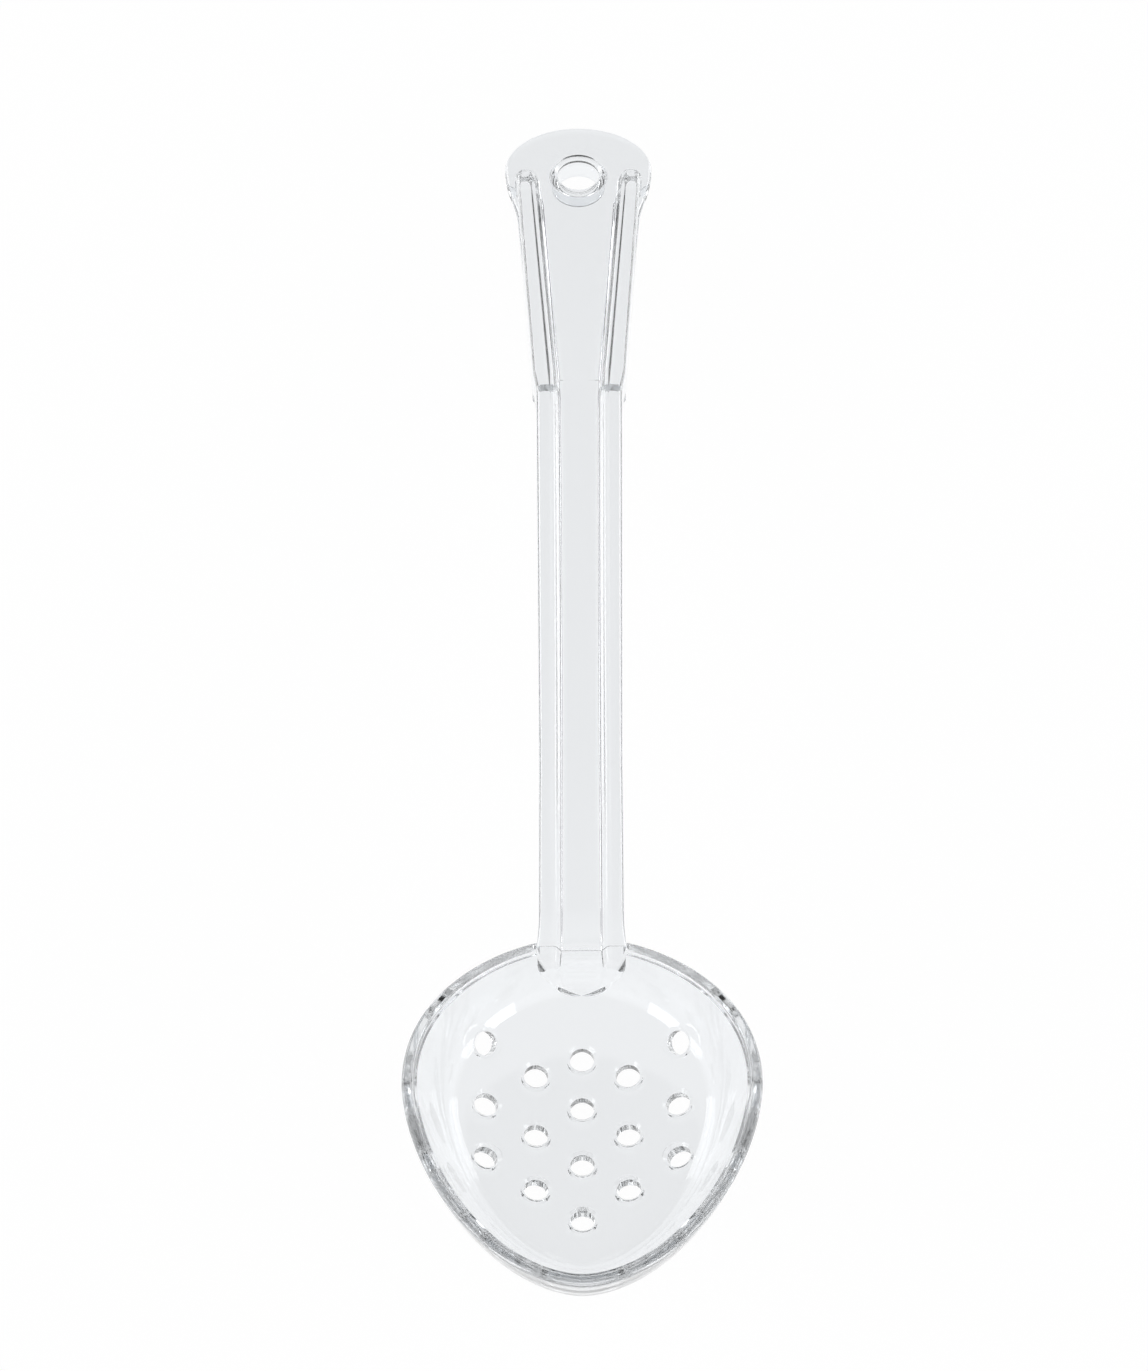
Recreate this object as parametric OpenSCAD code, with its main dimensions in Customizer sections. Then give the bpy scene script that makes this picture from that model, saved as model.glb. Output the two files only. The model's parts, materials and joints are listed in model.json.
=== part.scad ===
// Perforated serving spoon, moulded in one go from clear plastic.
// The moulding is divided where a hand would name its parts: the bowl, the neck that runs over the
// back of the rim, the stem, the grip with its stop shoulders, and the boss round the hanging hole.
// Millimetres. The handle runs along +Y and the bowl opens along +Z. The spoon lies on z = 0, on the
// belly of its bowl and on the ends of the two rails under its grip.

/* [Whole spoon] */
// Length from the tip of the bowl to the end of the grip
overall_length = 280; // [250:1:320]

/* [Bowl] */
// Width across the rim
bowl_width = 66; // [58:0.5:76]
// Length from the back of the rim to the tip
bowl_length = 78; // [70:0.5:90]
// Distance from the back of the rim to the widest place
bowl_widest = 33; // [28:0.5:38]
// Height of the rim at the back, above the table
back_rim_height = 19; // [17:0.25:23]
// Height of the rim at the tip, above the table
tip_rim_height = 24; // [20:0.25:28]
// Thickness of the moulded wall
wall = 2.8; // [2.2:0.1:3.4]

/* [Drain holes] */
// Diameter of each drain hole
drain_bore = 5.5; // [4.5:0.1:6.5]

/* [Neck] */
// Height of the handle's top above the rim that it crosses
saddle_rise = 0.9; // [0.6:0.1:2]
// Angle at which the handle climbs out of the bowl
neck_angle = 14; // [8:0.5:18]
// Radius of the bend over the neck
neck_bend = 120; // [90:1:150]
// How far the landing reaches into the bowl from the inner edge of the rim
landing_length = 5.2; // [4:0.2:7]

/* [Stem] */
// Width of the stem at the bowl
stem_width = 15.8; // [14:0.1:18]
// Width of the stem below the stop shoulders
stem_top_width = 17; // [15:0.1:18]
// Length over which the stem swells into the stop shoulders
stop_swell = 7; // [4:0.5:12]
// Height of the stem's side rails
stem_depth = 7.2; // [6:0.1:8]
// Width of each side rail, at the web
rail_width = 4.6; // [3.5:0.1:5]
// Thickness of the web that joins the rails
web = 2.6; // [2:0.1:3.2]
// Radius along the upper edges
shoulder_radius = 2; // [1:0.1:2.5]
// How much each rail thins towards its lower edge
draft = 0.6; // [0.2:0.1:1]

/* [Grip] */
// Length from the stop shoulders to the end
grip_length = 68; // [60:0.5:84]
// Width at the stop shoulders
grip_width = 18.4; // [18.2:0.1:21]
// Width where the grip begins to spread into its rounded end
grip_top_width = 24.6; // [22:0.1:26]
// Width of the rounded end
end_width = 29.6; // [28:0.1:33]
// Length of the rounded end
end_arch = 12; // [10:0.25:14]
// Length over which the grip spreads into its rounded end
end_spread = 14; // [10:0.5:20]
// Height of the grip's rails
grip_depth = 9.4; // [8.6:0.1:11]
// Height of the step at the stop shoulders
stop_step = 1; // [0.5:0.1:1.4]
// Distance from the rounded ends of the rails to the end of the grip
rail_inset = 9.5; // [8:0.25:12]
// How far the web stands out past the rails
lip = 0.5; // [0.3:0.1:1]

/* [Hanging hole] */
// Diameter of the hanging hole
hang_bore = 8.5; // [7:0.1:9.5]
// Diameter of the boss round it
boss_width = 15; // [13.5:0.1:16]
// Distance from the middle of the hole to the end of the grip
hang_inset = 11.6; // [10.5:0.1:14]
// Depth of the boss below the top of the grip
boss_depth = 6; // [4.5:0.1:7]
// Gap between the boss and the rails
boss_gap = 0.6; // [0.4:0.1:1.5]

/* [Hidden] */

// How far a cut runs past the face that it opens
overrun = 1;

// Steps round the bowl, from its middle to its rim, round a shoulder, along a bend and round a bore
bowl_steps = 72;
bowl_rings = 11;
shoulder_steps = 4;
bend_steps = 10;
arch_steps = 9;
bore_steps = 64;

// Powers that round the bowl's outline, and how its depth is shared by the dish and the side wall
side_power = 1.1;
tip_power = 1.16;
back_power = 0.94;
dish_share = 0.27;
dish_power = 2;
side_wall_power = 8;
ring_power = 1.5;

// Columns of drain holes as shares of half the bowl's width, rows as shares of its length from the back
inner_column_share = 0.255;
outer_column_share = 0.53;
middle_row_shares = [0.242, 0.369, 0.524, 0.683];
inner_row_shares = [0.286, 0.443, 0.597];
outer_row_shares = [0.228, 0.37, 0.516];

// Drop of the landing's rounded nose, as a share of the rim's height at the back
landing_drop_share = 0.5;

// Places along the bowl
tip_y = -overall_length / 2;
back_y = tip_y + bowl_length;
middle_y = back_y - bowl_widest;
end_y = overall_length / 2;
rim_slope = atan((tip_rim_height - back_rim_height) / bowl_length);

function rim_height(y) = back_rim_height + (back_y - y) * tan(rim_slope);

// The handle's top leaves the rim, bends over the neck and falls straight to the end of the grip.
// Its slope follows from the two places that the spoon lies on.
land_y = back_y - wall;
land_z = rim_height(land_y) + saddle_rise;
peak_y = land_y + neck_bend * sin(neck_angle);
peak_z = land_z + neck_bend * (1 - cos(neck_angle));

function bend_y(tilt) = peak_y + neck_bend * sin(tilt);
function bend_z(tilt) = peak_z - neck_bend * (1 - cos(tilt));

function settled_slope(tilt, tries) =
    tries == 0
        ? tilt
        : settled_slope(
            atan(
                (bend_z(tilt) + rail_inset * sin(tilt) - grip_depth * cos(tilt))
                / (end_y - bend_y(tilt))
            ),
            tries - 1
        );

settle_tries = 20;
slope = settled_slope(0, settle_tries);
handle_length = (end_y - bend_y(slope)) / cos(slope);
stem_length = handle_length - grip_length;
arch_start = grip_length - end_arch;
spread_start = arch_start - end_spread;

// Outline of the bowl, inset from its outer face, by angle round the widest place
function signed_power(value, power) = sign(value) * pow(abs(value), power);

function edge_x(angle, inset) = (bowl_width / 2 - inset) * signed_power(cos(angle), side_power);

function edge_y(angle, inset) =
    sin(angle) > 0
        ? middle_y + (bowl_widest - inset) * signed_power(sin(angle), back_power)
        : middle_y + (bowl_length - bowl_widest - inset) * signed_power(sin(angle), tip_power);

// A point of a dish: share 0 is its middle and share 1 its edge
function dish_rise(share) =
    dish_share * pow(share, dish_power) + (1 - dish_share) * pow(share, side_wall_power);

function dish_point(share, angle, inset) = [
    share * edge_x(angle, inset),
    middle_y + share * (edge_y(angle, inset) - middle_y),
    inset + (rim_height(edge_y(angle, inset)) - inset) * dish_rise(share)
];

function ring_share(ring) = 1 - pow(1 - ring / bowl_rings, ring_power);

// The handle's cross sections, from the lower left corner round to the upper left
function rail_section(half_width, depth) = concat(
    [[-half_width, -depth], [half_width, -depth]],
    [
        for (step = [0 : shoulder_steps])
            let (angle = 90 * step / shoulder_steps)
            [
                half_width - shoulder_radius * (1 - cos(angle)),
                -shoulder_radius * (1 - sin(angle))
            ]
    ],
    [
        for (step = [0 : shoulder_steps])
            let (angle = 90 * step / shoulder_steps)
            [
                -half_width + shoulder_radius * (1 - sin(angle)),
                -shoulder_radius * (1 - cos(angle))
            ]
    ]
);

function channel_section(half_width, depth) = [
    [-half_width - draft, -depth - overrun],
    [half_width + draft, -depth - overrun],
    [half_width, -web],
    [-half_width, -web]
];

// A cross section set across the handle: its top at y and z, and its face leaning by tilt
function placed(section, y, z, tilt) = [
    for (point = section)
        [point[0], y + point[1] * sin(tilt), z + point[1] * cos(tilt)]
];

function on_bend(section, tilt) = placed(section, bend_y(tilt), bend_z(tilt), tilt);

function on_handle(section, along) = placed(
    section,
    bend_y(slope) + along * cos(slope),
    bend_z(slope) - along * sin(slope),
    slope
);

// Half widths along the stem and the grip, and of the channel under the web
function stem_half(along) =
    (stem_width + (stem_top_width - stem_width) * along / (stem_length - stop_swell)) / 2;

function taper_half(along) = (grip_width + (grip_top_width - grip_width) * along / spread_start) / 2;

function spread_half(along) =
    let (share = (1 - cos(180 * (along - spread_start) / end_spread)) / 2)
    taper_half(along) * (1 - share) + end_width / 2 * share;

function grip_half(along) = along < spread_start ? taper_half(along) : spread_half(along);

grip_channel = grip_width / 2 - rail_width;

function stem_channel(along) =
    let (start = stem_width / 2 - rail_width)
    start + (grip_channel - start) * along / stem_length;

// A solid through a row of cross sections that runs along +Y
module loft(sections) {
    count = len(sections[0]);
    last = len(sections) - 1;
    points = [for (section = sections) each section];
    front = [[for (i = [count - 1 : -1 : 0]) i]];
    back = [[for (i = [0 : count - 1]) last * count + i]];
    sides = [
        for (row = [0 : last - 1], i = [0 : count - 1])
            let (
                a = row * count + i,
                b = row * count + (i + 1) % count
            )
            each [[a, b, b + count], [a, b + count, a + count]]
    ];
    polyhedron(points, concat(front, sides, back));
}

// The solid within a dish, whose flat top lies on the rim or a collar's height above it
module dish(inset, collar) {
    rings = [
        for (ring = [1 : bowl_rings], step = [0 : bowl_steps - 1])
            dish_point(ring_share(ring), 360 * step / bowl_steps, inset)
    ];
    top = [
        for (step = [0 : bowl_steps - 1])
            dish_point(1, 360 * step / bowl_steps, inset) + [0, 0, collar]
    ];
    rows = collar > 0 ? bowl_rings + 1 : bowl_rings;
    points = concat([[0, middle_y, inset]], rings, collar > 0 ? top : []);
    fan = [
        for (step = [0 : bowl_steps - 1])
            [0, 1 + step, 1 + (step + 1) % bowl_steps]
    ];
    sides = [
        for (row = [0 : rows - 2], step = [0 : bowl_steps - 1])
            let (
                a = 1 + row * bowl_steps + step,
                b = 1 + row * bowl_steps + (step + 1) % bowl_steps
            )
            each [[a, a + bowl_steps, b + bowl_steps], [a, b + bowl_steps, b]]
    ];
    lid = [[for (step = [bowl_steps - 1 : -1 : 0]) 1 + (rows - 1) * bowl_steps + step]];
    polyhedron(points, concat(fan, sides, lid));
}

module hollow() {
    dish(wall, land_z);
}

module drain_column(column, row_shares) {
    for (row_share = row_shares)
        translate([column, back_y - row_share * bowl_length, -overrun])
            cylinder(d = drain_bore, h = land_z, $fn = bore_steps);
}

module drain_holes() {
    drain_column(0, middle_row_shares);
    for (side = [-1, 1]) {
        drain_column(side * inner_column_share * bowl_width / 2, inner_row_shares);
        drain_column(side * outer_column_share * bowl_width / 2, outer_row_shares);
    }
}

module bowl() {
    color("lightcyan")
        difference() {
            dish(0, 0);
            hollow();
            drain_holes();
        }
}

// The neck's rounded landing inside the bowl, before it is trimmed to the bowl's inner face
module landing_block() {
    function landing_half(angle) = max(stem_width / 2 * cos(angle), shoulder_radius);
    function landing_z(angle) =
        land_z
        - landing_length * sin(angle) * tan(neck_angle)
        - landing_drop_share * back_rim_height * (1 - cos(angle));
    nose = [
        for (step = [arch_steps : -1 : 0])
            let (angle = 90 * step / arch_steps)
            placed(
                rail_section(landing_half(angle), landing_z(angle)),
                land_y - landing_length * sin(angle),
                landing_z(angle),
                0
            )
    ];
    heel = [placed(rail_section(stem_width / 2, land_z), back_y, land_z, 0)];
    loft(concat(nose, heel));
}

// The room over the rim and within the bowl, where the landing may be
module landing_room() {
    hollow();
    translate([0, back_y, back_rim_height])
        rotate([-rim_slope, 0, 0])
            translate([-bowl_width / 2, -bowl_length, 0])
                cube([bowl_width, bowl_length + landing_length, land_z]);
}

// The bend between the rim and the stem, run on far enough to reach the back of the bowl
module bend(hollowed) {
    start = -neck_angle - 180 * landing_length / (PI * neck_bend);
    finish = slope;
    past = hollowed ? 180 * overrun / (PI * neck_bend) : 0;
    loft([
        for (step = [0 : bend_steps])
            let (tilt = start - past + (finish - start + 2 * past) * step / bend_steps)
            on_bend(
                hollowed
                    ? channel_section(stem_width / 2 - rail_width, stem_depth)
                    : rail_section(stem_width / 2, stem_depth),
                tilt
            )
    ]);
}

module neck() {
    color("paleturquoise")
        union() {
            difference() {
                bend(false);
                bend(true);
                dish(0, 0);
            }
            intersection() {
                landing_block();
                landing_room();
            }
        }
}

module stem() {
    swell_start = stem_length - stop_swell;
    color("lightblue")
        difference() {
            loft([
                on_handle(rail_section(stem_half(0), stem_depth), 0),
                on_handle(rail_section(stem_half(swell_start), stem_depth), swell_start),
                on_handle(rail_section(grip_width / 2, grip_depth - stop_step), stem_length)
            ]);
            loft([
                for (along = [-overrun, stem_length + overrun])
                    on_handle(channel_section(stem_channel(along), grip_depth), along)
            ]);
        }
}

// Sets a piece of the grip that is drawn flat, with its top on z = 0, in its place on the handle
module on_grip(along) {
    translate([0, bend_y(slope), bend_z(slope)])
        rotate([-slope, 0, 0])
            translate([0, stem_length + along, 0])
                children();
}

// The web of the grip: it tapers, spreads and ends in an arch
module grip_web() {
    taper = [
        for (along = [0, spread_start])
            on_handle(rail_section(grip_half(along), web), stem_length + along)
    ];
    spread = [
        for (step = [1 : arch_steps])
            let (along = spread_start + end_spread * step / arch_steps)
            on_handle(rail_section(grip_half(along), web), stem_length + along)
    ];
    arch = [
        for (step = [1 : arch_steps])
            let (
                angle = 90 * step / arch_steps,
                half = max(end_width / 2 * cos(angle), shoulder_radius)
            )
            on_handle(rail_section(half, web), stem_length + arch_start + end_arch * sin(angle))
    ];
    loft(concat(taper, spread, arch));
}

// One rail under the web, with a rounded end below the grip's own rounded end
module grip_rail() {
    rail_end = grip_length - rail_inset;
    outer_end = taper_half(rail_end) - lip;
    inner_end = boss_width / 2 + boss_gap;
    radius = (outer_end - inner_end) / 2;
    on_grip(0)
        translate([0, 0, -grip_depth])
            linear_extrude(grip_depth - shoulder_radius)
                union() {
                    polygon([
                        [grip_channel, 0],
                        [grip_width / 2 - lip, 0],
                        [outer_end, rail_end - radius],
                        [inner_end, rail_end - radius]
                    ]);
                    translate([inner_end + radius, rail_end - radius])
                        circle(radius, $fn = bore_steps);
                }
}

module grip() {
    color("lightsteelblue")
        difference() {
            union() {
                grip_web();
                grip_rail();
                mirror([1, 0, 0]) grip_rail();
            }
            on_grip(grip_length - hang_inset)
                translate([0, 0, -grip_depth - overrun])
                    cylinder(d = boss_width, h = grip_depth + 2 * overrun, $fn = bore_steps);
        }
}

module hanging_eye() {
    color("powderblue")
        on_grip(grip_length - hang_inset)
            difference() {
                translate([0, 0, -boss_depth])
                    cylinder(d = boss_width, h = boss_depth, $fn = bore_steps);
                translate([0, 0, -boss_depth - overrun])
                    cylinder(d = hang_bore, h = boss_depth + 2 * overrun, $fn = bore_steps);
            }
}

bowl();
neck();
stem();
grip();
hanging_eye();
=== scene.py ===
"""A clear plastic serving spoon with round drain holes, laid on a white studio floor.

The spoon is one moulding. It is modelled whole, so that light runs through it with no inner walls, and
then divided into the pieces that a hand would name. Lengths are metres, in the frame of the solids.
"""

import json
from math import atan2, cos, pi, radians, sin, sqrt, tan

import bmesh
import bpy
from bpy.props import FloatProperty, FloatVectorProperty, PointerProperty
from mathutils import Matrix, Vector


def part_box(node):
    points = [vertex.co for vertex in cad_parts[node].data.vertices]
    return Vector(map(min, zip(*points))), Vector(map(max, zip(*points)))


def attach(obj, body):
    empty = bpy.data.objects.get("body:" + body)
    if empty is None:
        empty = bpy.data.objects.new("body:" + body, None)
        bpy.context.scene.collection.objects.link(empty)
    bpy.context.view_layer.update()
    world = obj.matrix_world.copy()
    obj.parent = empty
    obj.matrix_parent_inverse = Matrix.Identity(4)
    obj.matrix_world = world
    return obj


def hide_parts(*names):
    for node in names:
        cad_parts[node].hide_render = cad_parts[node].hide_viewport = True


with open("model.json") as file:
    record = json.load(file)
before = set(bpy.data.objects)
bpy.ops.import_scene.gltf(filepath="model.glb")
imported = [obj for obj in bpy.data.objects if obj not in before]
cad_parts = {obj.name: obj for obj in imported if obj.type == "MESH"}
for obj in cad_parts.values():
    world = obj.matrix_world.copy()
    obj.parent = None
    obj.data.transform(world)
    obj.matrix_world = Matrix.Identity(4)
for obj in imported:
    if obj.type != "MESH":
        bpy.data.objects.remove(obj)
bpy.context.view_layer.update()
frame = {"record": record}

bl_info = {
    "name": "Clear Serving Spoon",
    "version": (1, 0, 0),
    "blender": (4, 5, 0),
    "location": "3D View > Sidebar > Spoon",
    "description": "Moulds a clear perforated serving spoon and lays it on a white studio floor",
    "category": "Object",
}

MM = 0.001
MOULDING = "moulding"
BOUNDARY = "inner_boundary_see_through"

# Places that the solids give
BOWL_LOW, BOWL_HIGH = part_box("bowl")
GRIP_LOW, GRIP_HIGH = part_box("grip")
STEM_LOW, STEM_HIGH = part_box("stem")
HANG = frame["record"]["mounts"][0]
HANG_AXIS = Vector(HANG["axis"])
HANG_DEPTH = HANG["dims"]["length_mm"] * MM
HANG_TOP = Vector(HANG["pos_m"]) + HANG_AXIS * HANG_DEPTH / 2
SLOPE = atan2(HANG_AXIS.y, HANG_AXIS.z)

# Steps round the bowl, from its middle to its rim, round a small edge, along the bend, along an arch,
# round a bore, along the stem, along the swelling below the stop shoulders and along the grip
BOWL_STEPS = 192
DISH_STEPS = 30
EDGE_STEPS = 6
BEND_STEPS = 28
ARCH_STEPS = 24
BORE_STEPS = 48
STEM_STEPS = 24
SWELL_STEPS = 4
GRIP_STEPS = 18

# Power that sets the bowl's rings closer together towards the rim, and where one more ring closes round
# the middle, as a share of the way to the first of them
RING_POWER = 1.5
FIRST_RING_SHARE = 0.25

# Half the step over which the normal of the bowl's inner face is measured, as a share of the way out
NORMAL_STEP_SHARE = 0.001

# The ray that looks for a drain hole's foot starts inside the wall, by one of this many parts of it
WALL_PARTS = 9

# How far a bevel's cutter runs on past the face that it bevels, and how far its end stands clear of that
# face, as shares of the bevel's width
BEVEL_OVER_SHARE, BEVEL_CLEAR_SHARE = 0.3, 4

# Largest share of each side of a corner that its rounding takes
FILLET_SHARE = 0.48

# Largest shares of a rail's width that the slope beside the trough takes, and that the spread and the draft
# of the channel below take
SLOPE_SHARE, CHANNEL_SHARE = 0.5, 0.2

# Slope of the handle's top where it crosses the rim
LANDING_SLOPE = radians(14)

# Power that rounds the landing's nose in plan
LANDING_POWER = 0.58

# Where the landing meets the wall, where its nose ends and where its root starts, as shares of the way out
LANDING_WALL, LANDING_FOOT, LANDING_ROOT = 0.93, 0.853, 0.94

# Share of the landing's sections that lie between the rim and the wall
LANDING_TURN = 0.55

# How long the curve from the rim to the wall keeps the direction of its start and of its end, as shares of
# the way between them
LANDING_START_SHARE, LANDING_MEET_SHARE = 0.28, 0.4

# Least and greatest depth at which a landing's sides begin to spread, and depth of its web, as shares of
# the section's depth
LANDING_LEVEL_SHARES = (0.1, 0.7)
LANDING_WEB_SHARE = 0.85

# Largest shares of half the landing's width that the trough's floor takes, and of the rest that its sides
# lean in by
LANDING_STRIP_SHARE, LANDING_LEAN_SHARE = 0.75, 0.3

# Turn at which a rounded end stops, short of a right angle, so that its last section keeps some width
END_TURN = radians(88)

# Lean of the neck's last section, which stands nearly upright so that the rails run into the bowl's wall
NECK_LEAN = radians(-4)

# Length over which the neck spreads and its channel closes towards the bowl, in depths of the web
NECK_RUN = 2

# How far the channel closes where it runs out at the bowl, as a share of its depth
CHANNEL_CLOSE = 0.8

# Share of the strip's widening that the stem takes; the swelling below the stop shoulders takes the rest
STEM_WIDENING_SHARE = 0.5

# Length over which the stop shoulders step out
STOP_RUN = 0.25 * MM

# Share of the lip by which the grip's web is narrower at the stop shoulders
STOP_LIP_SHARE = 0.5

# How deep one body is set into another that it joins, so that no two faces lie in one plane
SINK = 0.3 * MM

# Parts of that depth by which the grip's web keeps off the rails' faces, and the dividing plane keeps off
# the stop shoulders
PLATE_PARTS, STOP_PARTS = 10, 6

# Largest distance at which a corner counts as lying on a level
LEVEL_TOLERANCE = 1e-7

# Edges that turn by more than this stay sharp
SMOOTH_ANGLE = radians(35)

# Half width of the neck where it is parted from the bowl, and radius of the hanging eye
NECK_HALF, EYE_RADIUS = 10.8 * MM, 7.6 * MM

# Line along which the neck is parted from the bowl, as places along the spoon and heights: it slants
# through the wall below the landing
NECK_CUT = ((-72.5 * MM, 5 * MM), (-65 * MM, 11.9 * MM), (-60 * MM, 8 * MM))

# Height of the block that parts the neck, and reach of the cylinder that parts the hanging eye, up and down
CUT_TOP, EYE_REACH = 40 * MM, 20 * MM

# How often light may bounce, since it runs along inside a clear wall for a long way
CLEAR_BOUNCES = 40

# Brightness of the studio's walls, of its ceiling and of the dark opening, and which way the opening lies
WALLS, CEILING, DARK = 1.2, 0.4, 0.03
DARK_SIDE = (0, 0.8, 0.6)

# Where the walls end and the ceiling starts, as sines of the height over the floor, and where the opening
# starts and is fully dark, as cosines of the angle off its middle
WALL_TOP, CEILING_START = 0.14, 0.32
OPENING_EDGE, OPENING_DARK = 0.62, 0.76

# Width of the floor, its brightness, and the share of it that shows plain white while the rest takes the
# shadow, with the colours of the rest and of the white
FLOOR_WIDTH, FLOOR_LIGHT, FLOOR_GLOW = 8, 1.07, 0.9
FLOOR_COLOUR, FLOOR_WHITE = "E7E7E7", "FFFFFF"

# Sockets of a node that mixes colours: the two that go in and the one that comes out
MIX_FIRST, MIX_SECOND, MIX_RESULT = 6, 7, 2

# Soft boxes at the right, each with its place, width, height and brightness: two beside the camera, like
# the panes of a window, and one behind the spoon. The left has the same
SOFT_BOXES = (
    ((1.1058, -0.8776, 0.2), 0.48, 0.42, 3.0),
    ((1.3542, -0.4024, 0.2), 0.48, 0.42, 3.0),
    ((1.2, 0.87, 0.3), 0.8, 0.36, 2.2),
)

# Powers that round the bowl's outline, and how its depth is shared by the dish and the side wall
SIDE_POWER, TIP_POWER, BACK_POWER = 1.1, 1.16, 0.94
DISH_SHARE, DISH_POWER, WALL_POWER = 0.27, 2, 8

# Columns of drain holes as shares of half the bowl's width, with rows as shares of its length
DRAIN_SHARES = {
    0.0: (0.242, 0.369, 0.524, 0.683),
    0.255: (0.286, 0.443, 0.597),
    0.53: (0.228, 0.37, 0.516),
}


def length(name, description, value):
    """A length that a user may change, in metres."""
    return FloatProperty(name=name, description=description, default=value, unit="LENGTH", precision=5)


def hex_colour(text):
    """The linear colour of an sRGB hex value."""
    parts = [int(text[i:i + 2], 16) / 255 for i in (0, 2, 4)]
    return tuple(p / 12.92 if p <= 0.04045 else ((p + 0.055) / 1.055) ** 2.4 for p in parts)


class SpoonBowl(bpy.types.PropertyGroup):
    """Sizes of the bowl and its drain holes."""

    width: length("Width", "Width across the rim", BOWL_HIGH.x - BOWL_LOW.x)
    long: length("Length", "Length from the back of the rim to the tip", BOWL_HIGH.y - BOWL_LOW.y)
    widest: length("Widest place", "Distance from the back of the rim to the widest place", 33 * MM)
    back_rim: length("Back rim", "Height of the rim at the back", 19 * MM)
    tip_rim: length("Tip rim", "Height of the rim at the tip", BOWL_HIGH.z)
    wall: length("Wall", "Thickness of the moulded wall", 2.8 * MM)
    rim_round: length("Rim rounding", "Radius along both edges of the rim", 1.0 * MM)
    drain_bore: length("Drain bore", "Diameter of each drain hole", 4.5 * MM)
    drain_lead: length("Drain lead", "How far the holes sit towards the handle from their rows", 1.2 * MM)
    drain_bevel: length("Drain bevel", "Width of the bevel along the edges of a drain hole", 0.55 * MM)


class SpoonHandle(bpy.types.PropertyGroup):
    """Sizes of the neck, the stem, the grip and the hanging hole."""

    saddle: length("Saddle", "Height of the handle's top above the rim that it crosses", 0.9 * MM)
    bend: length("Bend", "Radius of the bend over the neck", 120 * MM)
    landing_proud: length("Landing height", "How far the landing stands out from the bowl's wall", 2.6 * MM)
    landing_nose: length("Landing nose", "Length of the landing's rounded nose", 5.4 * MM)
    landing_lean: length("Landing lean", "How far the landing's sides lean in towards its crests", 1.0 * MM)
    landing_blend: length("Landing blend", "Radius between the landing and the bowl's wall", 1.2 * MM)
    landing_spread: length("Landing spread", "How far the blend spreads inside the bowl's wall", 2.0 * MM)
    flare: length("Flare", "How much each side of the neck spreads where it meets the rim", 0.6 * MM)
    stem_width: length("Stem width", "Width of the stem at the bowl", 15.8 * MM)
    stem_top: length("Stem top width", "Width of the stem below the stop shoulders", 17.0 * MM)
    stop_width: length("Stop width", "Width of the rails at the stop shoulders", 18.3 * MM)
    trough: length("Trough", "Depth of the trough along the handle's top", 1.5 * MM)
    strip: length("Strip", "Width of the trough's floor along the stem", 7.6 * MM)
    stop_strip: length("Stop strip", "Width of the trough's floor at the stop shoulders", 8.6 * MM)
    end_strip: length("End strip", "Width of the trough's floor between the rails' ends", 16 * MM)
    slope: length("Slope", "Width of each slope from the trough's floor up to the crest", 1.0 * MM)
    trough_round: length("Trough rounding", "Radius along the trough's floor", 0.8 * MM)
    crest_round: length("Crest rounding", "Radius along the inner side of each crest", 1.1 * MM)
    channel_spread: length("Channel spread", "Extra width of the channel over the strip, each side", 0.4 * MM)
    swell: length("Swell", "Length over which the stem swells below the stop shoulders", 7 * MM)
    depth: length("Stem depth", "Height of the stem's rails", 7.2 * MM)
    web: length("Web", "Depth of the web's underside below the crests", 3.7 * MM)
    draft: length("Draft", "How much each rail thins towards its lower edge", 1.0 * MM)
    shoulder: length("Shoulder", "Radius along the stem's upper edges", 1.6 * MM)
    channel_round: length("Channel rounding", "Radius in the corners of the channel", 2.6 * MM)
    rail_round: length("Rail rounding", "Radius along the rails' lower edges", 1.1 * MM)
    grip: length("Grip length", "Length from the stop shoulders to the end", 67.8 * MM)
    grip_width: length("Grip width", "Width of the web at the stop shoulders", 18.4 * MM)
    grip_top: length("Grip top width", "Width where the grip begins to spread", 24.6 * MM)
    end_width: length("End width", "Width of the rounded end", GRIP_HIGH.x - GRIP_LOW.x)
    end_arch: length("End arch", "Length of the rounded end", 11.4 * MM)
    end_spread: length("End spread", "Length over which the grip spreads into its end", 14 * MM)
    grip_depth: length("Grip depth", "Height of the grip's rails", 9.4 * MM)
    rail_inset: length("Rail inset", "Distance from the rails' ends to the end of the grip", 12.4 * MM)
    lip: length("Lip", "How far the web stands out past the rails", 0.5 * MM)
    plate_round: length("Plate rounding", "Radius along the upper edge of the grip", 1.2 * MM)
    plate_under: length("Plate under rounding", "Radius along the lower edge of the grip", 0.7 * MM)
    hang_bore: length("Hanging bore", "Diameter of the hanging hole", 2 * HANG["dims"]["r_mm"] * MM)
    hang_bevel: length("Hanging bevel", "Width of the bevel along the edges of the hanging hole", 0.6 * MM)
    hang_inset: length("Hanging inset", "Distance from the hanging hole to the end", 13.0 * MM)
    boss: length("Boss", "Diameter of the boss round the hanging hole", 10.8 * MM)
    boss_blend: length("Boss blend", "Radius between the boss and the web", 2.0 * MM)


class SpoonFinish(bpy.types.PropertyGroup):
    """Look of the clear plastic."""

    tint: FloatVectorProperty(
        name="Tint",
        description="Colour that light keeps on its way through a wall",
        subtype="COLOR",
        default=hex_colour("F4F6F8"),
    )
    ior: FloatProperty(name="IOR", description="Index of refraction of polycarbonate", default=1.585)
    haze: FloatProperty(name="Haze", description="Roughness that the polish leaves", default=0.05)


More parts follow.
